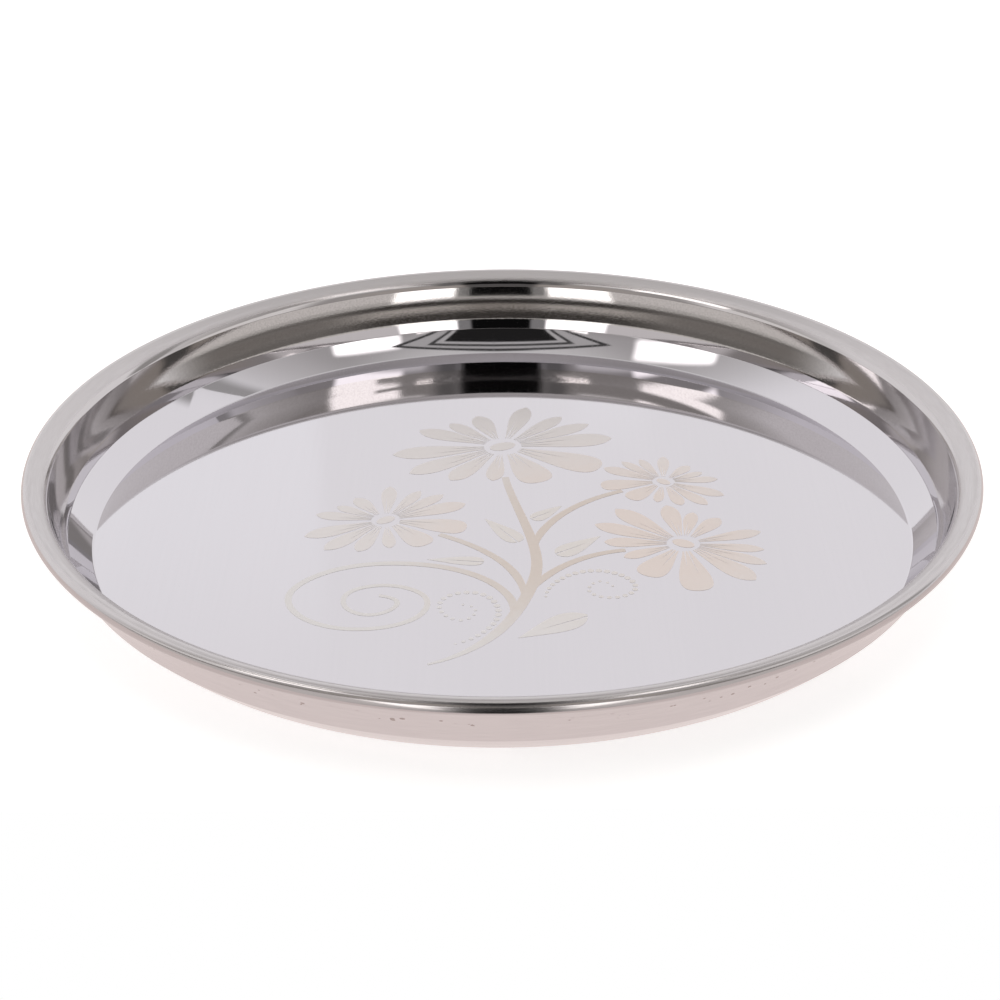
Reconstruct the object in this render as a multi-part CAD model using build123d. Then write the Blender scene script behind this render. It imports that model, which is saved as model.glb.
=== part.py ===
"""Thali plate of stainless steel: a pressed dish, its rolled rim and a floral spray etched on the base."""
from build123d import *
from math import atan2, cos, degrees, radians, sin
import os

# The plate, in millimetres
plate_diameter = 300.0
plate_height = 27.0
shoulder_height = 13.2
sheet = 0.7

# Section of the dish from the base outwards: bends are radii of the upper face, slopes are degrees
base_bend = 6.0
wall_slope = 82.0
shoulder_bend = 1.5
ledge_start_slope = 38.0
ledge_end_slope = 80.0

# Section of the rim from the crease, up its flank, over the top and round to the rolled-in edge
crease_bend = 1.2
flank_slope = 43.0
flank_length = 4.85
roll_bend = 2.5
roll_open = 90.0

# The etched spray is drawn about the middle of the base and reaches to a margin from the edge of the flat
etch_thickness = 0.05
spray_margin = 37.5
spray_reach = 91.5

# One daisy at full size. Each petal has a heading in degrees, a length, a width and a roundness of its tip
daisy_petals = (
    (9.0, 38.0, 9.5, 0.2),
    (29.5, 34.5, 6.6, 0.0),
    (48.0, 31.0, 6.0, 0.0),
    (74.5, 32.0, 7.0, 0.0),
    (110.5, 25.6, 7.2, 0.1),
    (135.5, 25.7, 5.6, 0.3),
    (156.0, 31.6, 7.6, 0.1),
    (189.0, 37.8, 9.0, 0.0),
    (212.5, 37.0, 8.2, 0.1),
    (235.0, 30.4, 7.4, 0.3),
    (262.5, 25.7, 6.0, 0.2),
    (295.5, 29.5, 12.0, 1.0),
    (333.5, 36.5, 12.5, 1.0),
)
petal_waist_share = 0.24
eye_length = 9.2
eye_width = 5.6
eye_heading = 25.0
eye_gap = 1.8

# Petals and leaves bulge: where along them their curve is pulled outwards, and by how much of their width
knee_place = 0.4
knee_width = 0.32
cheek_place = 0.8
cheek_width = 0.92

# Veins are slits left bare, which open towards the eye and spread by a share of the petal's width
vein_width = 0.55
vein_start_spread = 0.045
vein_tip_spread = 0.145
vein_lengths = (0.62, 0.42)

# Where each daisy sits: its middle, its size against the full one, its turn, and if it is mirrored
daisies = {
    "top": ((0.3, 52.0), 1.0, 0.0, False),
    "left": ((-37.5, -0.5), 0.73, 14.0, False),
    "right_upper": ((53.5, 25.0), 0.575, -19.0, True),
    "right_lower": ((57.0, -17.5), 0.82, -58.0, False),
}

# Middle lines of the trunk, its branches and the scroll, each with widths spaced evenly along it
trunk = (
    (1.1, 29.0), (4.6, 9.0), (9.2, -14.0), (10.5, -33.0),
    (6.8, -51.0), (-0.3, -68.4), (-9.6, -80.4), (-21.8, -88.4),
)
trunk_widths = (2.4, 2.8, 3.4, 3.8, 3.4, 0.8)
branches = (
    ((-20.0, -10.5), (-8.0, -19.4), (2.3, -32.8), (6.2, -45.5), (6.0, -56.0)),
    ((39.5, 18.6), (26.0, 9.8), (15.6, -3.0), (10.6, -15.5), (10.2, -28.0)),
    ((38.5, -21.6), (27.5, -25.2), (17.5, -32.8), (11.0, -41.4), (6.6, -52.0)),
)
branch_widths = (2.0, 2.4, 2.8, 1.2)
scroll = (
    (3.4, -61.0), (1.0, -48.0), (-10.5, -35.4), (-33.0, -29.0), (-55.0, -34.8), (-65.0, -50.0),
    (-57.0, -64.0), (-41.0, -68.4), (-26.5, -62.5), (-22.5, -53.0), (-30.0, -44.0), (-42.0, -43.8),
    (-48.8, -51.5), (-43.0, -59.2), (-34.5, -58.6), (-31.8, -52.5), (-37.5, -48.8),
)
scroll_widths = (2.8, 2.4, 2.0, 1.8, 1.5)

# Middle lines of the dotted curls, the number of dots and the radii of the least and the largest dot
dot_curls = {
    "left": ((-14.0, -77.2), (-4.6, -69.0), (-1.3, -58.5), (-7.5, -47.8), (-17.0, -49.8), (-18.0, -59.5),
             (-11.5, -63.6), (-8.2, -58.5), (-12.0, -54.6)),
    "right": ((13.0, -50.0), (17.0, -40.4), (26.5, -34.6), (37.0, -37.8), (40.4, -45.5), (33.5, -51.0),
              (26.2, -46.6), (28.8, -41.4), (33.5, -44.0)),
}
dots_per_curl = 30
dot_least = 0.45
dot_largest = 1.0

# Leaves: the pointed end, the other end, the width, and how round that other end is
leaves = (
    ((-5.6, -0.2), (5.4, -15.6), 7.0, 0.9),
    ((19.4, 8.4), (9.6, -1.0), 5.6, 0.8),
    ((31.0, -12.4), (17.0, -24.4), 7.4, 0.7),
    ((-23.4, -26.6), (-5.8, -28.2), 5.6, 1.0),
    ((4.4, -74.2), (25.2, -61.0), 9.6, 0.0),
)
leaf_waist = 0.1
leaf_vein_length = 0.7
leaf_vein_start_side = -0.1
leaf_vein_tip_side = 0.06

# Edges of the trunk, branches and scroll pass through this many points
ribbon_steps = 24


def bend_run(bend, slope_from, slope_to):
    """Level reach of an arc of the section that turns from one slope to another."""
    return bend * abs(sin(radians(slope_to)) - sin(radians(slope_from)))


def bend_rise(bend, slope_from, slope_to):
    """Climb of an arc of the section that turns from one slope to another."""
    return bend * abs(cos(radians(slope_to)) - cos(radians(slope_from)))


# What the bends and the rim leave for the ledge, the straight wall and the flat of the base
shoulder_run = bend_run(shoulder_bend, wall_slope, ledge_start_slope)
shoulder_rise = bend_rise(shoulder_bend, wall_slope, ledge_start_slope)
crease_run = bend_run(crease_bend, ledge_end_slope, flank_slope)
crease_rise = bend_rise(crease_bend, ledge_end_slope, flank_slope)
flank_run = flank_length * cos(radians(flank_slope))
flank_rise = flank_length * sin(radians(flank_slope))
rim_run = crease_run + flank_run + bend_run(roll_bend, flank_slope, 0) + roll_bend
rim_rise = crease_rise + flank_rise + bend_rise(roll_bend, flank_slope, 0)
ledge_rise = plate_height - rim_rise - shoulder_height
ledge_bend = ledge_rise / bend_rise(1, ledge_start_slope, ledge_end_slope)
ledge_run = bend_run(ledge_bend, ledge_start_slope, ledge_end_slope)
wall_rise = shoulder_height - shoulder_rise - bend_rise(base_bend, 0, wall_slope) - sheet
wall_length = wall_rise / sin(radians(wall_slope))
wall_run = wall_length * cos(radians(wall_slope))
crease_radius = plate_diameter / 2 - rim_run
wall_foot_radius = crease_radius - ledge_run - shoulder_run - wall_run
base_flat_radius = wall_foot_radius - bend_run(base_bend, 0, wall_slope)
petal_start = eye_length / 2 + eye_gap
spray_scale = (base_flat_radius - spray_margin) / spray_reach


def straight(before, length):
    """Straight line of the section that goes on from the end of the one before."""
    return Line(before @ 1, before @ 1 + (before % 1) * length)


def arc(before, bend, turn):
    """Arc of the section that goes on from the end of the line before, upwards for a positive turn."""
    return JernArc(before @ 1, before % 1, bend, turn)


def dish_line(depth):
    """Lines of the dish's section at a depth below its upper face, from the axis out to the crease."""
    base = Line((0, sheet - depth), (base_flat_radius, sheet - depth))
    corner = arc(base, base_bend + depth, wall_slope)
    wall = straight(corner, wall_length)
    shoulder = arc(wall, shoulder_bend - depth, ledge_start_slope - wall_slope)
    ledge = arc(shoulder, ledge_bend + depth, ledge_end_slope - ledge_start_slope)
    return [base, corner, wall, shoulder, ledge]


def rim_line(depth):
    """Lines of the rim's section at a depth below its outer face, from the crease to the rolled-in edge."""
    crease = arc(dish_line(depth)[-1], crease_bend - depth, flank_slope - ledge_end_slope)
    flank = straight(crease, flank_length)
    roll = arc(flank, roll_bend - depth, roll_open - 360)
    return [crease, flank, roll]


def turned_sheet(section_line):
    """Ring or dish of one sheet, turned about the plate's axis from a line of its section."""
    outer = section_line(0)
    inner = section_line(sheet)
    ends = [Line(outer[0] @ 0, inner[0] @ 0), Line(outer[-1] @ 1, inner[-1] @ 1)]
    return revolve(Plane.XZ * make_face(outer + inner + ends), Axis.Z)


def etched(marks):
    """Thin etched marks on the upper face of the base, drawn about its middle and scaled to fit it."""
    drawing = Compound(children=[face for mark in marks for face in mark.faces()])
    fitted = scale(drawing, by=(spray_scale, spray_scale, 1))
    skins = [extrude(Pos(0, 0, sheet) * face, etch_thickness) for face in fitted.faces()]
    return Compound(children=[skin.solid() for skin in skins])


def blade(start, end, waist, width, roundness):
    """Petal or leaf along X: narrow at its start, widest past the middle, with a pointed or a round end."""
    reach = end - start
    knee = start + knee_place * reach
    cheek = start + (cheek_place + (1 - cheek_place) * roundness) * reach
    sides = []
    for side in (width, -width):
        waist_end = (start, waist / 2 if side > 0 else -waist / 2)
        sides.append(Bezier(waist_end, (knee, knee_width * side), (cheek, cheek_width * side), (end, 0)))
    return make_face(sides + [Line(sides[0] @ 0, sides[1] @ 0)])


def vein(start, tip, start_side, tip_side, width):
    """Slit along a petal or a leaf, which closes to a point at its tip."""
    left = (start, start_side - width / 2)
    right = (start, start_side + width / 2)
    return make_face(Polyline(left, (tip, tip_side), right, close=True))


def petal(length, width, roundness):
    """Petal of the full-size daisy, with a long and a short vein that open towards the eye."""
    face = blade(petal_start, length, petal_waist_share * width, width, roundness)
    for side, share in zip((width, -width), vein_lengths):
        tip = petal_start + share * (length - petal_start)
        start = petal_start - vein_width
        face -= vein(start, tip, vein_start_spread * side, vein_tip_spread * side, vein_width)
    return face


def daisy(middle, size, turn, mirrored):
    """Faces of one daisy: its petals and the oval eye."""
    way = -1 if mirrored else 1
    first = 180 + turn if mirrored else turn
    faces = [
        Rot(0, 0, first + way * heading) * petal(length, width, roundness)
        for heading, length, width, roundness in daisy_petals
    ]
    faces.append(Rot(0, 0, first + way * eye_heading) * Ellipse(eye_length / 2, eye_width / 2))
    return [Pos(*middle) * scale(face, by=(size, size, 1)) for face in faces]


def width_along(widths, along):
    """Width at a place from 0 to 1, between the two nearest of evenly spaced widths."""
    place = along * (len(widths) - 1)
    before = min(int(place), len(widths) - 2)
    return widths[before] + (place - before) * (widths[before + 1] - widths[before])


def ribbon(points, widths):
    """Flat strip of a changing width along a smooth line."""
    line = Spline(*points)
    left = []
    right = []
    for step in range(ribbon_steps + 1):
        along = step / ribbon_steps
        side = (line % along).rotate(Axis.Z, 90) * (width_along(widths, along) / 2)
        left.append(line @ along + side)
        right.append(line @ along - side)
    return make_face([Spline(*left), Spline(*right), Line(left[0], right[0]), Line(left[-1], right[-1])])


def stem():
    """Face of the trunk with its branches."""
    face = ribbon(trunk, trunk_widths)
    for branch in branches:
        face += ribbon(branch, branch_widths)
    return face


def scroll_curl():
    """Face of the scroll where it is clear of the trunk and its branches."""
    clear = ribbon(scroll, scroll_widths) - stem()
    return clear.faces().sort_by(SortBy.AREA)[-1]


def dots(points):
    """Round dots along a curl, the largest a third of the way in."""
    line = Spline(*points)
    faces = []
    for count in range(dots_per_curl):
        along = count / (dots_per_curl - 1)
        swell = sin(radians(180 * along**0.65))
        faces.append(Pos(line @ along) * Circle(dot_least + (dot_largest - dot_least) * swell))
    return faces


def leaf(point, end, width, roundness):
    """Leaf from its point to its other end, with one vein along its middle."""
    line = Line(point, end)
    face = blade(0, line.length, leaf_waist, width, roundness)
    vein_tip = (1 - leaf_vein_length) * line.length
    face -= vein(line.length, vein_tip, leaf_vein_start_side * width, leaf_vein_tip_side * width, vein_width)
    heading = degrees(atan2((line % 0).Y, (line % 0).X))
    return Pos(*point) * Rot(0, 0, heading) * face


nodes = {
    "pressed_dish": turned_sheet(dish_line),
    "rolled_rim": turned_sheet(rim_line),
    "etched_stem": etched([stem()]),
    "etched_scroll": etched([scroll_curl()]),
    "etched_leaves": etched([leaf(*shape) for shape in leaves]),
}
for name, drawn in daisies.items():
    nodes[f"etched_flower_{name}"] = etched(daisy(*drawn))
for name, points in dot_curls.items():
    nodes[f"etched_dots_{name}"] = etched(dots(points))

os.makedirs("parts", exist_ok=True)
for name, shape in nodes.items():
    export_step(shape, f"parts/{name}.step")
print(f"radius of the flat base {base_flat_radius:.2f}, straight wall {wall_length:.2f}")
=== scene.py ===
"""Thali plate of polished stainless steel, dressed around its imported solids."""

import logging
import math
from dataclasses import dataclass
from enum import Enum

import bpy
from mathutils import Matrix, Vector


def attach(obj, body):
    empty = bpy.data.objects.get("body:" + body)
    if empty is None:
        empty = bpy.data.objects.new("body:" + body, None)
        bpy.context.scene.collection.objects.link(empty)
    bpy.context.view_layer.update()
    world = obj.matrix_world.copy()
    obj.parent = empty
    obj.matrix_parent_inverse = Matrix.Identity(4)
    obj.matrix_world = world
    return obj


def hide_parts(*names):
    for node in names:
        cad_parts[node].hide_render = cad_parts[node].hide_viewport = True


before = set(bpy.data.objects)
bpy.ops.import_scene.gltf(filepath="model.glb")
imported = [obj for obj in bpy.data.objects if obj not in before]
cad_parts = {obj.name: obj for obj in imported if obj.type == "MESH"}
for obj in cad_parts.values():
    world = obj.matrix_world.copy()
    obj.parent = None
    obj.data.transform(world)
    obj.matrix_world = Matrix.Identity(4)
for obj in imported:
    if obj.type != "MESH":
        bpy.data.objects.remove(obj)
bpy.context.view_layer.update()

LOG = logging.getLogger("thali_plate")
MM = 0.001
DEGREE = 180 / math.pi

Colour = tuple[float, float, float]
Triple = tuple[float, float, float]
Span = tuple[float, float]
Socket = bpy.types.NodeSocket
Number = float | Socket

# Places of the colour sockets on a Mix node
MIX_FIRST, MIX_SECOND, MIX_RESULT = 6, 7, 2

# Added to a face's own normal, so that the thin edge of a mark is shaded nearly as its top is
EDGE_LIFT: Triple = (0.0, 0.0, 3.0)
UPWARDS: Triple = (0.0, 0.0, 1.0)

# Share of a run, from each of its ends, where a further row of points keeps the shading crisp
STRAIGHT_EDGE = 0.002
BEND_EDGE = 0.005

# Turned pieces: divisions of the turn, largest corner that is shaded smooth, in degrees, and
# radius in millimetres below which a point lies on the axis
TURN_SEGMENTS = 384
SMOOTH_ANGLE = 50.0
AXIS_RADIUS = 1e-6


class Zone(Enum):
    """Bands of the sheet that were finished in different ways."""

    MIRROR = 0
    LEDGE = 1
    OUTSIDE = 2


Line = list[tuple[float, float, Zone]]


class Side(Enum):
    """Face of the sheet that a section line follows."""

    UPPER = 0.0
    LOWER = 1.0


class Mark(Enum):
    """Kinds of etched mark."""

    PETAL = "etched_petal"
    STEM = "etched_stem"
    LEAF = "etched_leaf"
    DOT = "etched_dot"


class NodePen:
    """Writes shader nodes into one node tree."""

    def __init__(self, tree: bpy.types.NodeTree) -> None:
        """Empties the tree and keeps it.

        Args:
            tree: node tree of a material or of the world.
        """
        self.tree = tree
        tree.nodes.clear()

    def add(self, kind: str, **settings: object) -> bpy.types.Node:
        """Adds one node.

        Args:
            kind: type of the node, without the leading word.
            settings: properties to set on it.

        Returns:
            The new node.
        """
        node = self.tree.nodes.new("ShaderNode" + kind)
        for key, value in settings.items():
            setattr(node, key, value)
        return node

    def feed(self, socket: Socket, value: object) -> None:
        """Links a socket to another one, or sets its value.

        Args:
            socket: input to fill.
            value: socket, number, colour or vector that goes in.
        """
        if isinstance(value, bpy.types.NodeSocket):
            self.tree.links.new(value, socket)
        elif isinstance(value, tuple) and len(value) == 3 and socket.type == "RGBA":
            socket.default_value = (*value, 1.0)
        else:
            socket.default_value = value

    def maths(self, operation: str, *values: Number) -> Socket:
        """Works out one number.

        Args:
            operation: name of the sum.
            values: numbers or sockets that go in.

        Returns:
            Socket of the result.
        """
        node = self.add("Math", operation=operation)
        for socket, value in zip(node.inputs, values):
            self.feed(socket, value)
        return node.outputs[0]

    def spread(
        self, value: Number, low: float, high: float, start: Number = 0.0, end: Number = 1.0
    ) -> Socket:
        """Maps a range of one number to another with soft ends.

        Args:
            value: number that goes in.
            low: value that gives the start.
            high: value that gives the end.
            start: result at and below low.
            end: result at and above high.

        Returns:
            Socket of the result.
        """
        node = self.add("MapRange", interpolation_type="SMOOTHSTEP")
        for socket, entry in zip(node.inputs, (value, low, high, start, end)):
            self.feed(socket, entry)
        return node.outputs[0]

    def band(self, value: Number, low: float, high: float, soft: float) -> Socket:
        """Mask that is 1 between two values and fades over a soft edge.

        Args:
            value: number that goes in.
            low: lower edge.
            high: upper edge.
            soft: half the width of each fade.

        Returns:
            Socket of the mask.
        """
        rise = self.spread(value, low - soft, low + soft)
        fall = self.spread(value, high - soft, high + soft, 1.0, 0.0)
        return self.maths("MULTIPLY", rise, fall)

    def mix(self, factor: Number, first: object, second: object) -> Socket:
        """Mixes two colours.

        Args:
            factor: share of the second colour.
            first: colour at 0.
            second: colour at 1.

        Returns:
            Socket of the mixed colour.
        """
        node = self.add("Mix", data_type="RGBA")
        self.feed(node.inputs[0], factor)
        self.feed(node.inputs[MIX_FIRST], first)
        self.feed(node.inputs[MIX_SECOND], second)
        return node.outputs[MIX_RESULT]

    def place(self) -> Socket:
        """Position on the piece, in metres."""
        return self.add("TexCoord").outputs["Object"]

    def split(self, vector: Socket) -> tuple[Socket, ...]:
        """Takes a vector apart.

        Args:
            vector: vector that goes in.

        Returns:
            Sockets of its three parts.
        """
        node = self.add("SeparateXYZ")
        self.feed(node.inputs[0], vector)
        return tuple(node.outputs)

    def from_axis(self) -> tuple[Socket, ...]:
        """Position on the piece and its distance from the plate's axis, in metres.

        Returns:
            Sockets of the three parts of the position and of the distance.
        """
        x, y, z = self.split(self.place())
        squares = self.maths("ADD", self.maths("MULTIPLY", x, x), self.maths("MULTIPLY", y, y))
        return x, y, z, self.maths("SQRT", squares)

    def vector(self, operation: str, first: Socket, second: Triple, result: str) -> Socket:
        """Works out one sum of a vector and a fixed one.

        Args:
            operation: name of the sum.
            first: vector that goes in.
            second: the fixed vector.
            result: name of the output to read.

        Returns:
            Socket of the result.
        """
        node = self.add("VectorMath", operation=operation)
        self.feed(node.inputs[0], first)
        node.inputs[1].default_value = second
        return node.outputs[result]

    def stretched(self, vector: Socket, scale: Triple) -> Socket:
        """Scales a vector, axis by axis."""
        return self.vector("MULTIPLY", vector, scale, "Vector")

    def along(self, vector: Socket, axis: Triple) -> Socket:
        """Length of a vector along an axis."""
        return self.vector("DOT_PRODUCT", vector, axis, "Value")

    def noise(self, vector: Socket, scale: float, detail: float) -> Socket:
        """Cloudy noise between 0 and 1.

        Args:
            vector: place that it is read at.
            scale: features per unit of the vector.
            detail: octaves added on top.

        Returns:
            Socket of the value.
        """
        node = self.add("TexNoise", noise_dimensions="3D")
        self.feed(node.inputs["Vector"], vector)
        node.inputs["Scale"].default_value = scale
        node.inputs["Detail"].default_value = detail
        return node.outputs[0]

    def specks(self, vector: Socket, scale: float, size: float, rarity: float) -> Socket:
        """Mask of rare small dots.

        Args:
            vector: place that it is read at.
            scale: cells per unit of the vector.
            size: radius of the largest dot, as a share of a cell.
            rarity: share of the cells that stay clean.

        Returns:
            Socket of the mask.
        """
        cells = self.add("TexVoronoi", feature="F1")
        self.feed(cells.inputs["Vector"], vector)
        cells.inputs["Scale"].default_value = scale
        chance = self.add("SeparateColor")
        self.feed(chance.inputs[0], cells.outputs["Color"])
        picked = self.maths("GREATER_THAN", chance.outputs[0], rarity)
        grown = self.maths("MULTIPLY", chance.outputs[1], size)
        dot = self.maths("LESS_THAN", cells.outputs["Distance"], grown)
        return self.maths("MULTIPLY", picked, dot)

    def ring_place(self, along: float, across: float) -> Socket:
        """Place wound round the plate's axis, for marks that run round it.

        Args:
            along: features per radian of the turn.
            across: features per metre across the turn.

        Returns:
            Socket of the wound vector.
        """
        x, y, z, radius = self.from_axis()
        joined = self.add("CombineXYZ")
        parts = (
            (self.maths("ADD", radius, z), across),
            (self.maths("DIVIDE", x, radius), along),
            (self.maths("DIVIDE", y, radius), along),
        )
        for socket, (value, scale) in zip(joined.inputs, parts):
            self.feed(socket, self.maths("MULTIPLY", value, scale))
        return joined.outputs[0]

    def bump(self, height: Socket, depth: float, flat: bool = False) -> Socket:
        """Bumped normal.

        Args:
            height: relief between 0 and 1.
            depth: height of a full step, in metres.
            flat: whether the faces are shaded as they lie, with their thin edges eased upwards.

        Returns:
            Socket of the normal.
        """
        node = self.add("Bump")
        node.inputs["Strength"].default_value = 1.0
        node.inputs["Distance"].default_value = depth
        self.feed(node.inputs["Height"], height)
        if flat:
            normal = self.add("NewGeometry").outputs["True Normal"]
            evened = self.add("VectorMath", operation="NORMALIZE")
            self.feed(evened.inputs[0], self.vector("ADD", normal, EDGE_LIFT, "Vector"))
            self.feed(node.inputs["Normal"], evened.outputs[0])
        return node.outputs[0]

    def steel(self, colour: object, roughness: Number, normal: Socket, lay: float = 0.0) -> None:
        """Ends the tree with a metal surface.

        Args:
            colour: reflectance.
            roughness: roughness of the polish.
            normal: bumped normal.
            lay: share of anisotropy.
        """
        body = self.add("BsdfPrincipled")
        body.inputs["Metallic"].default_value = 1.0
        body.inputs["Anisotropic"].default_value = lay
        self.feed(body.inputs["Base Color"], colour)
        self.feed(body.inputs["Roughness"], roughness)
        self.feed(body.inputs["Normal"], normal)
        self.end("OutputMaterial", body)

    def end(self, kind: str, shader: bpy.types.Node) -> None:
        """Ends the tree with a shader.

        Args:
            kind: type of the output node.
            shader: node that feeds its surface.
        """
        out = self.add(kind)
        self.feed(out.inputs["Surface"], shader.outputs[0])


def new_material(name: str) -> tuple[bpy.types.Material, NodePen]:
    """Makes an empty node material.

    Args:
        name: name of the material.

    Returns:
        The material and a pen on its tree.
    """
    made = bpy.data.materials.new(name)
    made.use_nodes = True
    return made, NodePen(made.node_tree)


@dataclass(frozen=True)
class MirrorFinish:
    """Mirror polish on rolled sheet: faint straight grain, cloudy bands and a few pits."""

    name: str = "mirror_polished_steel"
    tint: Colour = (0.636, 0.614, 0.641)
    shade: Colour = (0.624, 0.603, 0.630)
    pit_tint: Colour = (0.30, 0.285, 0.28)
    roughness: float = 0.028
    grain_roughness: float = 0.05
    rough_range: Span = (0.45, 0.8)
    grain: Triple = (900.0, 14.0, 40.0)
    grain_detail: float = 3.0
    grain_share: float = 0.45
    bands: Triple = (22.0, 2.5, 6.0)
    band_detail: float = 1.0
    band_share: float = 0.65
    cloud_range: Span = (0.3, 0.8)
    pit_cells: float = 38.0
    pit_size: float = 0.022
    pit_rarity: float = 0.80
    wave_scale: float = 70.0
    wave_detail: float = 1.0
    wave_depth: float = 0.000006

    def material(self) -> bpy.types.Material:
        """Writes the polish.

        Returns:
            The material.
        """
        made, pen = new_material(self.name)
        place = pen.place()
        grain = pen.noise(pen.stretched(place, self.grain), 1.0, self.grain_detail)
        bands = pen.noise(pen.stretched(place, self.bands), 1.0, self.band_detail)
        banded = pen.maths("MULTIPLY", bands, self.band_share)
        cloud = pen.maths("MULTIPLY_ADD", grain, self.grain_share, banded)
        pits = pen.specks(place, self.pit_cells, self.pit_size, self.pit_rarity)
        colour = pen.mix(pen.spread(cloud, *self.cloud_range), self.tint, self.shade)
        colour = pen.mix(pits, colour, self.pit_tint)
        rough = pen.spread(grain, *self.rough_range, self.roughness, self.grain_roughness)
        wave = pen.noise(place, self.wave_scale, self.wave_detail)
        pen.steel(colour, rough, pen.bump(wave, self.wave_depth))
        return made


@dataclass(frozen=True)
class LedgeFinish:
    """Drawn ledge: polished, but with the fine grain that the press leaves."""

    name: str = "drawn_ledge_steel"
    tint: Colour = (0.63, 0.605, 0.60)
    shade: Colour = (0.57, 0.545, 0.54)
    roughness: float = 0.045
    grain_roughness: float = 0.085
    grain_scale: float = 1500.0
    grain_detail: float = 3.0
    grain_range: Span = (0.3, 0.75)
    grain_depth: float = 0.000005

    def material(self) -> bpy.types.Material:
        """Writes the ledge.

        Returns:
            The material.
        """
        made, pen = new_material(self.name)
        grain = pen.noise(pen.place(), self.grain_scale, self.grain_detail)
        colour = pen.mix(pen.spread(grain, *self.grain_range), self.tint, self.shade)
        rough = pen.spread(grain, *self.grain_range, self.roughness, self.grain_roughness)
        pen.steel(colour, rough, pen.bump(grain, self.grain_depth))
        return made


@dataclass(frozen=True)
class OutsideFinish:
    """Outer face of the dish: buffed, with fine rings, dull specks and a row of small press marks."""

    name: str = "buffed_outside_steel"
    tint: Colour = (0.72, 0.695, 0.70)
    shade: Colour = (0.66, 0.635, 0.64)
    speck_tint: Colour = (0.45, 0.405, 0.39)
    roughness: float = 0.10
    ring_roughness: float = 0.18
    ring_lines: float = 1600.0
    ring_turns: float = 14.0
    ring_detail: float = 3.0
    ring_range: Span = (0.3, 0.75)
    ring_depth: float = 0.000002
    speck_cells: float = 190.0
    speck_size: float = 0.13
    speck_rarity: float = 0.93
    press_turns: float = 52.0
    press_lines: float = 560.0
    press_size: float = 0.30
    press_rarity: float = 0.08
    press_low: float = 0.0128
    press_high: float = 0.0152
    press_soft: float = 0.0006

    def material(self) -> bpy.types.Material:
        """Writes the outside.

        Returns:
            The material.
        """
        made, pen = new_material(self.name)
        place = pen.place()
        rings = pen.noise(pen.ring_place(self.ring_turns, self.ring_lines), 1.0, self.ring_detail)
        specks = pen.specks(place, self.speck_cells, self.speck_size, self.speck_rarity)
        height = pen.along(place, UPWARDS)
        row = pen.band(height, self.press_low, self.press_high, self.press_soft)
        wound = pen.ring_place(self.press_turns, self.press_lines)
        pressed = pen.specks(wound, 1.0, self.press_size, self.press_rarity)
        marks = pen.maths("MAXIMUM", specks, pen.maths("MULTIPLY", pressed, row))
        colour = pen.mix(marks, pen.mix(rings, self.tint, self.shade), self.speck_tint)
        rough = pen.spread(rings, *self.ring_range, self.roughness, self.ring_roughness)
        pen.steel(colour, rough, pen.bump(rings, self.ring_depth))
        return made


@dataclass(frozen=True)
class SatinFinish:
    """Satin rim: brushed round its top, smoother on the outer roll and polished at the crease."""

    name: str = "satin_rim_steel"
    tint: Colour = (0.575, 0.548, 0.550)
    shade: Colour = (0.540, 0.512, 0.514)
    satin: float = 0.34
    satin_vary: Span = (0.85, 1.15)
    satin_range: Span = (0.25, 0.75)
    tint_range: Span = (0.2, 0.85)
    polished: float = 0.05
    rolled: float = 0.17
    roll_radii: Span = (0.1478, 0.1488)
    crease_heights: Span = (0.0236, 0.0248)
    brush_lines: float = 3800.0
    brush_turns: float = 22.0
    brush_detail: float = 3.0
    brush_depth: float = 0.000004
    brush_lay: float = 0.35

    def material(self) -> bpy.types.Material:
        """Writes the rim.

        Returns:
            The material.
        """
        made, pen = new_material(self.name)
        wound = pen.ring_place(self.brush_turns, self.brush_lines)
        brush = pen.noise(wound, 1.0, self.brush_detail)
        _, _, height, radius = pen.from_axis()
        least, most = (self.satin * share for share in self.satin_vary)
        satin = pen.spread(brush, *self.satin_range, least, most)
        rough = pen.spread(height, *self.crease_heights, self.polished, satin)
        rough = pen.spread(radius, *self.roll_radii, rough, self.rolled)
        colour = pen.mix(pen.spread(brush, *self.tint_range), self.tint, self.shade)
        pen.steel(colour, rough, pen.bump(brush, self.brush_depth), self.brush_lay)
        return made


@dataclass(frozen=True)
class EtchedFinish:
    """Frosted etching whose warm colour is partly the etched steel's own tint and partly painted warm
    light, warmest near the forks of the spray and greyer away from them.
    """

    mark: Mark
    warm: Colour
    pale: Colour
    roughness: float = 0.42
    frost_vary: Span = (0.85, 1.15)
    frost_range: Span = (0.25, 0.75)
    frost_scale: float = 5200.0
    frost_detail: float = 2.0
    frost_depth: float = 0.000003
    warm_centre: Triple = (0.032, -0.016, 0.0)
    warm_reach: Span = (0.01, 0.095)
    warmth_noise_scale: float = 420.0
    warmth_noise_detail: float = 3.0
    warmth_noise_share: float = 0.35
    warmth_shift: float = 0.17

    def material(self) -> bpy.types.Material:
        """Writes the etching.

        Returns:
            The material.
        """
        made, pen = new_material(self.mark.value + "_frost")
        place = pen.place()
        away = pen.vector("DISTANCE", place, self.warm_centre, "Value")
        warmth_noise = pen.noise(place, self.warmth_noise_scale, self.warmth_noise_detail)
        frost = pen.noise(place, self.frost_scale, self.frost_detail)
        # Painted warm light on top of the etching's own warm tint: warm colour near the forks, fading
        # to the paler frost away from them, broken up by noise
        fade = pen.maths("SUBTRACT", pen.spread(away, *self.warm_reach), self.warmth_shift)
        fade = pen.maths("MULTIPLY_ADD", warmth_noise, self.warmth_noise_share, fade)
        colour = pen.mix(pen.spread(fade, 0.0, 1.0), self.warm, self.pale)
        least, most = (self.roughness * share for share in self.frost_vary)
        rough = pen.spread(frost, *self.frost_range, least, most)
        pen.steel(colour, rough, pen.bump(frost, self.frost_depth, flat=True))
        return made


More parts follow.
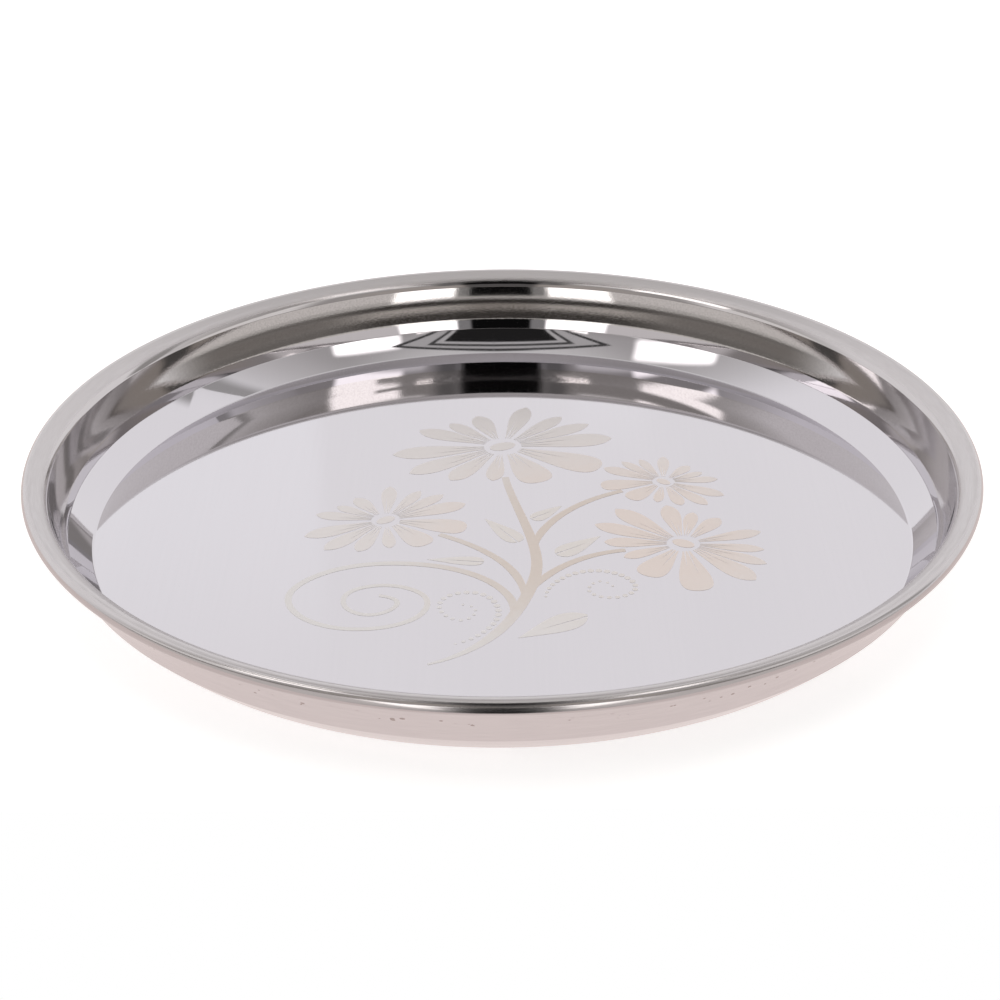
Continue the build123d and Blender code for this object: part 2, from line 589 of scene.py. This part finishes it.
@dataclass
class SectionPen:
    """Draws one face of the sheet's section from the axis outwards, in millimetres and degrees."""

    side: Side
    sheet: float
    radius: float = 0.0
    height: float = 0.0
    slope: float = 0.0

    def __post_init__(self) -> None:
        """Works out the depth below the upper face and starts an empty line."""
        self.depth = self.side.value * self.sheet
        self.points: Line = []

    def start(self, zone: Zone) -> None:
        """Puts down a point where the pen stands."""
        self.points.append((self.radius, self.height, zone))

    def shares(self, parts: int, edge: float) -> tuple[float, ...]:
        """Shares of a run at which points are put down."""
        return (edge, *(k / parts for k in range(1, parts)), 1.0 - edge, 1.0)

    def straight(self, length: float, zone: Zone, parts: int = 4) -> None:
        """Draws a straight run.

        Args:
            length: length of the run.
            zone: finish of the band.
            parts: pieces that it is divided into.
        """
        a = math.radians(self.slope)
        first = (self.radius, self.height)
        for t in self.shares(parts, STRAIGHT_EDGE):
            self.radius = first[0] + length * t * math.cos(a)
            self.height = first[1] + length * t * math.sin(a)
            self.start(zone)

    def bend(self, size: float, slope: float, zone: Zone, step: float = 1.5) -> None:
        """Draws an arc up to a slope.

        Args:
            size: radius of the upper face.
            slope: slope at the end.
            zone: finish of the band.
            step: turn between two points.
        """
        turn = 1.0 if slope > self.slope else -1.0
        arm = turn * (size + self.depth * turn)
        first = self.slope
        a = math.radians(first)
        centre = (self.radius - arm * math.sin(a), self.height + arm * math.cos(a))
        parts = max(2, round(abs(slope - first) / step))
        for t in self.shares(parts, BEND_EDGE):
            self.slope = first + (slope - first) * t
            a = math.radians(self.slope)
            self.radius = centre[0] + arm * math.sin(a)
            self.height = centre[1] - arm * math.cos(a)
            self.start(zone)


def turned_piece(name: str, upper: Line, lower: Line) -> bpy.types.Object:
    """Turns a closed section round the plate's axis.

    Args:
        name: name of the piece.
        upper: upper face, from the axis outwards.
        lower: lower face, from the axis outwards.

    Returns:
        The smooth-shaded piece, with one material index per zone.
    """
    loop = upper + lower[::-1]
    corners: list[Vector] = []
    rows: list[list[int]] = []
    for radius, height, _ in loop:
        count = 1 if radius < AXIS_RADIUS else TURN_SEGMENTS
        rows.append(list(range(len(corners), len(corners) + count)))
        for k in range(count):
            a = 2 * math.pi * k / TURN_SEGMENTS
            corners.append(Vector((radius * math.cos(a), radius * math.sin(a), height)) * MM)
    faces: list[tuple[int, ...]] = []
    zones: list[int] = []
    for i, inner in enumerate(rows):
        j = (i + 1) % len(rows)
        outer = rows[j]
        if len(inner) == 1 and len(outer) == 1:
            continue
        zone = loop[j][2] if 0 < j < len(upper) else Zone.OUTSIDE
        for k in range(TURN_SEGMENTS):
            n = (k + 1) % TURN_SEGMENTS
            if len(inner) == 1:
                faces.append((inner[0], outer[k], outer[n]))
            elif len(outer) == 1:
                faces.append((inner[k], outer[0], inner[n]))
            else:
                faces.append((inner[k], outer[k], outer[n], inner[n]))
            zones.append(zone.value)
    mesh = bpy.data.meshes.new(name)
    mesh.from_pydata(corners, [], faces)
    mesh.polygons.foreach_set("material_index", zones)
    mesh.polygons.foreach_set("use_smooth", [True] * len(faces))
    mesh.set_sharp_from_angle(angle=math.radians(SMOOTH_ANGLE))
    mesh.update()
    piece = bpy.data.objects.new(name, mesh)
    bpy.context.scene.collection.objects.link(piece)
    return piece


@dataclass
class PressedDish:
    """Flat base, sloping wall, steep upper wall, shoulder and ledge up to the crease.

    Lengths are in millimetres and slopes in degrees. Each bend is named for the band that it
    forms, and ends at that band's slope.
    """

    sheet: float = 0.7
    base_radius: float = 129.6998
    base_parts: int = 12
    foot_bend: float = 1.2
    wall_foot_slope: float = 41.5
    wall_bend: float = 118.7652
    wall_top_slope: float = 46.0
    step_bend: float = 0.5
    step_slope: float = 75.5
    upper_wall_bend: float = 200.0
    upper_wall_slope: float = 74.6
    shoulder_bend: float = 14.0
    shoulder_slope: float = 71.6563
    ledge_bend: float = 209.4083
    ledge_slope: float = 70.3563
    crease_foot_bend: float = 69.0936
    crease_slope: float = 76.0

    # Turn between two rows of points on each bend, from the foot out to the crease
    turns: tuple[float, ...] = (5.0, 0.5, 4.0, 0.2, 0.4, 0.2, 0.5)

    def face(self, side: Side) -> SectionPen:
        """Draws one face of the dish.

        Args:
            side: face to follow.

        Returns:
            The pen, standing at the crease.
        """
        pen = SectionPen(side, self.sheet)
        pen.height = self.sheet - pen.depth
        pen.start(Zone.MIRROR)
        pen.straight(self.base_radius, Zone.MIRROR, self.base_parts)
        bends = (
            (self.foot_bend, self.wall_foot_slope, Zone.MIRROR),
            (self.wall_bend, self.wall_top_slope, Zone.MIRROR),
            (self.step_bend, self.step_slope, Zone.MIRROR),
            (self.upper_wall_bend, self.upper_wall_slope, Zone.MIRROR),
            (self.shoulder_bend, self.shoulder_slope, Zone.LEDGE),
            (self.ledge_bend, self.ledge_slope, Zone.LEDGE),
            (self.crease_foot_bend, self.crease_slope, Zone.LEDGE),
        )
        for bend, turn in zip(bends, self.turns):
            pen.bend(*bend, turn)
        return pen

    def build(self) -> bpy.types.Object:
        """Turns the dish and dresses it.

        Returns:
            The dish.
        """
        upper, lower = self.face(Side.UPPER), self.face(Side.LOWER)
        piece = turned_piece("dish_sheet", upper.points, lower.points)
        for finish in (MirrorFinish(), LedgeFinish(), OutsideFinish()):
            piece.data.materials.append(finish.material())
        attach(piece, "root")
        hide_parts("pressed_dish")
        return piece


@dataclass
class RolledRim:
    """Rounded flank above the crease and the hollow roll that ends the sheet.

    Lengths are in millimetres and slopes in degrees.
    """

    dish: PressedDish
    crease_bend: float = 1.0
    flank_foot_slope: float = 66.0
    flank_bend: float = 7.0912
    flank_top_slope: float = 30.0
    flank_length: float = 1.6088
    roll_bend: float = 2.455
    roll_turn: float = 270.0
    roll_step: float = 4.5

    def face(self, side: Side) -> Line:
        """Draws one face of the rim.

        Args:
            side: face to follow.

        Returns:
            Points from the crease to the sheet's edge.
        """
        ending = self.dish.face(side)
        pen = SectionPen(side, self.dish.sheet, ending.radius, ending.height, ending.slope)
        roll_slope = self.flank_top_slope - self.roll_turn
        pen.start(Zone.MIRROR)
        pen.bend(self.crease_bend, self.flank_foot_slope, Zone.MIRROR)
        pen.bend(self.flank_bend, self.flank_top_slope, Zone.MIRROR)
        pen.straight(self.flank_length, Zone.MIRROR)
        pen.bend(self.roll_bend, roll_slope, Zone.MIRROR, self.roll_step)
        return pen.points

    def build(self) -> bpy.types.Object:
        """Turns the rim and dresses it, with the same satin in every zone.

        Returns:
            The rim.
        """
        piece = turned_piece("rim_roll", self.face(Side.UPPER), self.face(Side.LOWER))
        satin = SatinFinish().material()
        for _ in Zone:
            piece.data.materials.append(satin)
        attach(piece, "root")
        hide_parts("rolled_rim")
        return piece


@dataclass
class EtchedSpray:
    """Frosted marks on the base, which keep their solids."""

    petals: tuple[str, ...] = (
        "etched_flower_top",
        "etched_flower_left",
        "etched_flower_right_upper",
        "etched_flower_right_lower",
    )
    stems: tuple[str, ...] = ("etched_stem", "etched_scroll")
    leaves: tuple[str, ...] = ("etched_leaves",)
    dots: tuple[str, ...] = ("etched_dots_left", "etched_dots_right")
    # Each warm colour is partly the etching's own tint and partly painted warm light; each pale colour
    # is the plain frost
    petal_frost: EtchedFinish = EtchedFinish(
        Mark.PETAL, warm=(0.722, 0.640, 0.594), pale=(0.714, 0.675, 0.660)
    )
    stem_frost: EtchedFinish = EtchedFinish(
        Mark.STEM, warm=(0.645, 0.571, 0.516), pale=(0.700, 0.673, 0.658)
    )
    leaf_frost: EtchedFinish = EtchedFinish(
        Mark.LEAF, warm=(0.705, 0.664, 0.634), pale=(0.712, 0.686, 0.680)
    )
    dot_frost: EtchedFinish = EtchedFinish(
        Mark.DOT, warm=(0.705, 0.664, 0.638), pale=(0.712, 0.688, 0.684)
    )

    def dress(self) -> list[bpy.types.Object]:
        """Gives every mark its frosted finish.

        Returns:
            The marks.
        """
        looks = (
            (self.petals, self.petal_frost),
            (self.stems, self.stem_frost),
            (self.leaves, self.leaf_frost),
            (self.dots, self.dot_frost),
        )
        dressed = []
        for names, finish in looks:
            frost = finish.material()
            for name in names:
                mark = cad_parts[name]
                mark.data.materials.clear()
                mark.data.materials.append(frost)
                dressed.append(mark)
        return dressed


class Grid(Enum):
    """Ways to give a place in the studio, both in degrees."""

    FRONT = "across and up the leaning front wall"
    SKIRT = "bearing from the front, and height that sinks towards the sides"


@dataclass(frozen=True)
class Panel:
    """Patch of the studio's walls.

    Soft is half the width of its fading edges, and fade replaces it at the left and right edges.
    Flare widens the patch for each degree up, and lean lifts it for each degree to the side.
    """

    left: float
    right: float
    low: float
    high: float
    colour: Colour
    soft: float = 1.0
    flare: float = 0.0
    lean: float = 0.0
    fade: float = 0.0
    grid: Grid = Grid.FRONT


def grey(level: float) -> Colour:
    """Slightly warm grey."""
    return (level, 0.98 * level, 0.96 * level)


@dataclass
class Studio:
    """Pale tent with a framed dark opening at the front, and the floor that the plate stands on."""

    wall_front: Colour = (0.47, 0.455, 0.445)
    wall_side: Colour = (0.66, 0.645, 0.635)
    wall_back: Colour = (1.06, 1.05, 1.06)
    roof: Colour = (0.80, 0.79, 0.77)
    back_roof: Colour = (0.57, 0.56, 0.55)
    top: Colour = (0.74, 0.73, 0.72)
    cloth: Colour = (0.42, 0.405, 0.39)
    side_light: Colour = (1.0, 0.985, 0.97)
    back_patch: Colour = (1.11, 1.105, 1.12)
    white: Colour = (2.3, 2.24, 2.19)
    lamp: Colour = (2.6, 2.5, 2.4)
    dark: Colour = (0.005, 0.005, 0.005)
    backdrop: Colour = (1.0, 1.0, 1.0)

    # Where one wall passes into the next: turn from the front and height, in degrees
    side_turn: Span = (68.0, 90.0)
    roof_height: Span = (60.0, 76.0)
    back_turn: Span = (84.0, 112.0)
    back_roof_turn: Span = (105.0, 150.0)
    back_roof_height: Span = (46.0, 60.0)
    top_height: Span = (68.0, 80.0)

    front_lean: float = 33.0
    flare_from: float = 64.0
    skirt_sink: float = 0.8
    least_sink: float = 0.1
    frame_foot: float = 63.8
    frame_soft: float = 0.22

    # Floor, in metres; metal mirrors it in one even colour, and the glow is for the camera alone
    floor_colour: Colour = (0.86, 0.853, 0.848)
    floor_mirrored: Colour = (0.90, 0.80, 0.775)
    floor_front: float = -0.158
    floor_reach: float = 2.5
    floor_drop: float = -0.0002
    floor_glow: float = 0.62

    def skirt(self) -> list[Panel]:
        """Low bands: the lit table, its pale edge, a dark gap and a brown curtain.

        Returns:
            The bands, in the order in which they are painted.
        """
        bands = (
            (95.0, -60.0, 10.2, (0.74, 0.71, 0.69), 10.0),
            (95.0, 10.2, 12.6, (0.56, 0.54, 0.52), 10.0),
            (92.0, 12.6, 15.6, (0.17, 0.158, 0.148), 10.0),
            (40.0, 12.6, 15.6, (0.038, 0.034, 0.031), 12.0),
            (92.0, 15.6, 24.0, (0.22, 0.203, 0.19), 12.0),
            (40.0, 15.6, 46.0, (0.50, 0.47, 0.44), 12.0),
            (10.0, 15.6, 46.0, (0.30, 0.275, 0.25), 5.0),
        )
        return [
            Panel(-wide, wide, low, high, colour, 0.5, fade=fade, grid=Grid.SKIRT)
            for wide, low, high, colour, fade in bands
        ]

    def lamps(self) -> list[Panel]:
        """Side and back lights, white panels round the opening, a cloth and two small lamps.

        Returns:
            The panels, in the order in which they are painted.
        """
        return [
            Panel(56.0, 92.0, 28.0, 64.0, self.side_light, 2.5, fade=6.0, grid=Grid.SKIRT),
            Panel(-92.0, -56.0, 28.0, 64.0, self.side_light, 2.5, fade=6.0, grid=Grid.SKIRT),
            Panel(99.0, 112.0, 100.0, 400.0, grey(0.43), 2.0, fade=2.5, grid=Grid.SKIRT),
            Panel(-174.9, -160.0, 100.0, 300.0, self.back_patch, 30.0, fade=0.4, grid=Grid.SKIRT),
            Panel(176.0, 178.0, 100.0, 255.0, self.back_patch, 20.0, fade=0.4, grid=Grid.SKIRT),
            Panel(13.0, 30.5, -70.0, 10.2, self.white, 0.8, lean=0.06),
            Panel(-31.5, -13.5, -70.0, 10.2, self.white, 0.8, lean=0.06),
            Panel(17.0, 40.0, 43.0, 52.0, self.side_light, 1.5, lean=0.36),
            Panel(-40.0, -17.0, 43.0, 52.0, self.side_light, 1.5, lean=0.36),
            Panel(-48.0, 48.0, 51.0, 60.2, self.cloth, 1.5, lean=0.36),
            Panel(22.3, 38.0, 50.5, 64.4, self.white, 1.0, lean=0.36),
            Panel(20.5, 27.5, 57.4, 60.0, self.cloth, 0.6, lean=0.36),
            Panel(-53.0, -30.0, 42.0, 54.6, self.white, 1.0, lean=0.30),
            Panel(-50.0, -30.5, 60.6, 67.6, self.white, 1.2, lean=0.36),
            Panel(14.9, 18.4, 59.8, 60.6, self.lamp, 0.3, lean=0.36),
            Panel(-19.0, -11.8, 59.7, 60.8, self.lamp, 0.3, lean=0.36),
        ]

    def opening(self) -> list[Panel]:
        """Dark opening: a low part, a tall part and the nested frames at its top.

        Returns:
            The panels, in the order in which they are painted.
        """
        low = [
            Panel(-13.5, 13.0, -70.0, 10.6, grey(0.27), 0.6),
            Panel(-9.0, 9.0, -70.0, 10.8, self.dark, 0.7),
            Panel(-8.5, 8.5, 18.5, 42.0, grey(0.13), 1.0),
            Panel(-14.0, 14.0, -90.0, 3.0, self.dark, 1.0, fade=3.5, grid=Grid.SKIRT),
        ]
        tall = [
            Panel(-14.5, 14.5, 40.0, 63.9, grey(0.19), 1.8),
            Panel(-10.3, 10.3, 40.0, 63.9, grey(0.25), 0.4),
            Panel(-9.0, 9.0, 40.0, 63.9, grey(0.09), 0.3),
            Panel(-8.2, 8.2, 40.0, 64.5, self.dark, 0.35),
        ]
        frames = (
            (11.6, 1.55, 72.5, 0.06),
            (10.6, 1.5, 71.7, 0.52),
            (9.9, 0.95, 70.9, 0.07),
            (9.2, 0.9, 70.1, 0.55),
            (8.6, 0.75, 69.3, 0.019),
        )
        top = [
            Panel(-half, half, self.frame_foot, high, grey(level), self.frame_soft, flare)
            for half, flare, high, level in frames
        ]
        return low + tall + top

    def walls(self, pen: NodePen, turn: Socket, height: Socket) -> Socket:
        """Plain walls and roof of the tent.

        Args:
            pen: pen on the world's tree.
            turn: bearing from the front, to either side.
            height: height above the horizon.

        Returns:
            Socket of their colour.
        """
        behind = pen.spread(turn, *self.back_roof_turn)
        behind = pen.maths("MULTIPLY", behind, pen.spread(height, *self.back_roof_height))
        colour = pen.mix(pen.spread(turn, *self.side_turn), self.wall_front, self.wall_side)
        colour = pen.mix(pen.spread(height, *self.roof_height), colour, self.roof)
        colour = pen.mix(pen.spread(turn, *self.back_turn), colour, self.wall_back)
        colour = pen.mix(behind, colour, self.back_roof)
        return pen.mix(pen.spread(height, *self.top_height), colour, self.top)

    def light(self) -> None:
        """Paints the tent into the world; the camera itself sees plain white."""
        world = bpy.data.worlds.new("studio_tent")
        bpy.context.scene.world = world
        world.use_nodes = True
        pen = NodePen(world.node_tree)
        way = pen.add("TexCoord").outputs["Generated"]
        x, y, z = pen.split(way)
        lean = math.radians(self.front_lean)
        depth = pen.along(way, (0.0, -math.cos(lean), math.sin(lean)))
        rise = pen.along(way, (0.0, math.sin(lean), math.cos(lean)))
        around = pen.maths("ARCTAN2", x, pen.maths("MULTIPLY", y, -1.0))
        bearing = pen.maths("MULTIPLY", around, DEGREE)
        height = pen.maths("MULTIPLY", pen.maths("ARCSINE", z), DEGREE)
        across = pen.maths("MULTIPLY", pen.maths("ARCTAN2", x, depth), DEGREE)
        up = pen.maths("MULTIPLY_ADD", pen.maths("ARCTAN2", rise, depth), DEGREE, self.front_lean)
        sink = pen.maths("COSINE", pen.maths("MULTIPLY", around, self.skirt_sink))
        sunk = pen.maths("DIVIDE", height, pen.maths("MAXIMUM", sink, self.least_sink))
        grids = {Grid.FRONT: (across, up), Grid.SKIRT: (bearing, sunk)}
        colour = self.walls(pen, pen.maths("ABSOLUTE", bearing), height)
        for panel in (*self.skirt(), *self.lamps(), *self.opening()):
            side, level = grids[panel.grid]
            colour = pen.mix(self.mask(pen, panel, side, level), colour, panel.colour)
        colour = pen.mix(pen.add("LightPath").outputs["Is Camera Ray"], colour, self.backdrop)
        sky = pen.add("Background")
        pen.feed(sky.inputs["Color"], colour)
        pen.end("OutputWorld", sky)

    def mask(self, pen: NodePen, panel: Panel, side: Socket, level: Socket) -> Socket:
        """Mask of one panel.

        Args:
            pen: pen on the world's tree.
            panel: panel to cut out.
            side: place across the wall.
            level: place up the wall.

        Returns:
            Socket that is 1 on the panel.
        """
        if panel.lean:
            level = pen.maths("MULTIPLY_ADD", pen.maths("ABSOLUTE", side), -panel.lean, level)
        left = right = side
        if panel.flare:
            above = pen.maths("SUBTRACT", level, self.flare_from)
            wider = pen.maths("MULTIPLY", above, panel.flare)
            left, right = pen.maths("ADD", side, wider), pen.maths("SUBTRACT", side, wider)
        fade = panel.fade or panel.soft
        rise = pen.spread(left, panel.left - fade, panel.left + fade)
        fall = pen.spread(right, panel.right - fade, panel.right + fade, 1.0, 0.0)
        upright = pen.band(level, panel.low, panel.high, panel.soft)
        return pen.maths("MULTIPLY", pen.maths("MULTIPLY", rise, fall), upright)

    def floor_finish(self) -> bpy.types.Material:
        """Writes the floor: matt and a little lit to the camera, one even colour in metal.

        Returns:
            The material.
        """
        made, pen = new_material("pale_floor")
        path = pen.add("LightPath").outputs
        matt = pen.add("BsdfDiffuse")
        pen.feed(matt.inputs["Color"], self.floor_colour)
        glow = pen.add("Emission")
        lit = pen.maths("MULTIPLY", path["Is Camera Ray"], self.floor_glow)
        pen.feed(glow.inputs["Strength"], lit)
        both = pen.add("AddShader")
        pen.feed(both.inputs[0], matt.outputs[0])
        pen.feed(both.inputs[1], glow.outputs[0])
        even = pen.add("Emission")
        pen.feed(even.inputs["Color"], self.floor_mirrored)
        mirrored = pen.maths("MAXIMUM", path["Is Glossy Ray"], path["Is Transmission Ray"])
        shown = pen.add("MixShader")
        pen.feed(shown.inputs[0], mirrored)
        pen.feed(shown.inputs[1], both.outputs[0])
        pen.feed(shown.inputs[2], even.outputs[0])
        pen.end("OutputMaterial", shown)
        return made

    def floor(self) -> bpy.types.Object:
        """Lays the floor.

        Returns:
            The floor.
        """
        wide, near, level = self.floor_reach, self.floor_front, self.floor_drop
        corners = [(-wide, near, level), (wide, near, level), (wide, wide, level), (-wide, wide, level)]
        mesh = bpy.data.meshes.new("studio_floor")
        mesh.from_pydata(corners, [], [(0, 1, 2, 3)])
        mesh.materials.append(self.floor_finish())
        floor = bpy.data.objects.new("studio_floor", mesh)
        bpy.context.scene.collection.objects.link(floor)
        return floor


@dataclass
class PhotoCamera:
    """Camera at the photograph's viewing angle.

    Angles are in degrees, the distance in metres, the sensor in millimetres, and the focal
    length and the aim in pixels of the image.
    """

    elevation: float = 28.28
    distance: float = 0.7359
    focal: float = 2286.08
    roll: float = -0.42
    aim_up: float = 20.35
    aim_left: float = 2.29
    image: float = 1000.0
    sensor: float = 36.0

    def build(self) -> bpy.types.Object:
        """Sets up the camera.

        Returns:
            The scene's camera.
        """
        a, roll = math.radians(self.elevation), math.radians(self.roll)
        back = Vector((0.0, -math.cos(a), math.sin(a)))
        right = Vector((1.0, 0.0, 0.0))
        up = back.cross(right)
        rolled_right = right * math.cos(roll) + up * math.sin(roll)
        rolled_up = up * math.cos(roll) - right * math.sin(roll)
        turn = Matrix((rolled_right, rolled_up, back)).transposed()
        turn = turn @ Matrix.Rotation(math.atan(self.aim_up / self.focal), 3, "X")
        turn = turn @ Matrix.Rotation(math.atan(self.aim_left / self.focal), 3, "Y")
        data = bpy.data.cameras.new("photo_camera")
        data.sensor_width = self.sensor
        data.lens = self.focal * self.sensor / self.image
        camera = bpy.data.objects.new("photo_camera", data)
        bpy.context.scene.collection.objects.link(camera)
        camera.matrix_world = Matrix.Translation(back * self.distance) @ turn.to_4x4()
        bpy.context.scene.camera = camera
        return camera


def main() -> None:
    """Builds the studio, the plate and its marks."""
    logging.basicConfig(level=logging.INFO, format="%(message)s")
    bpy.context.scene.view_settings.view_transform = "Standard"
    PhotoCamera().build()
    studio = Studio()
    studio.light()
    studio.floor()
    dish = PressedDish()
    for piece in (dish.build(), RolledRim(dish).build(), *EtchedSpray().dress()):
        LOG.info("%s: %d faces", piece.name, len(piece.data.polygons))


if __name__ == "__main__":
    main()
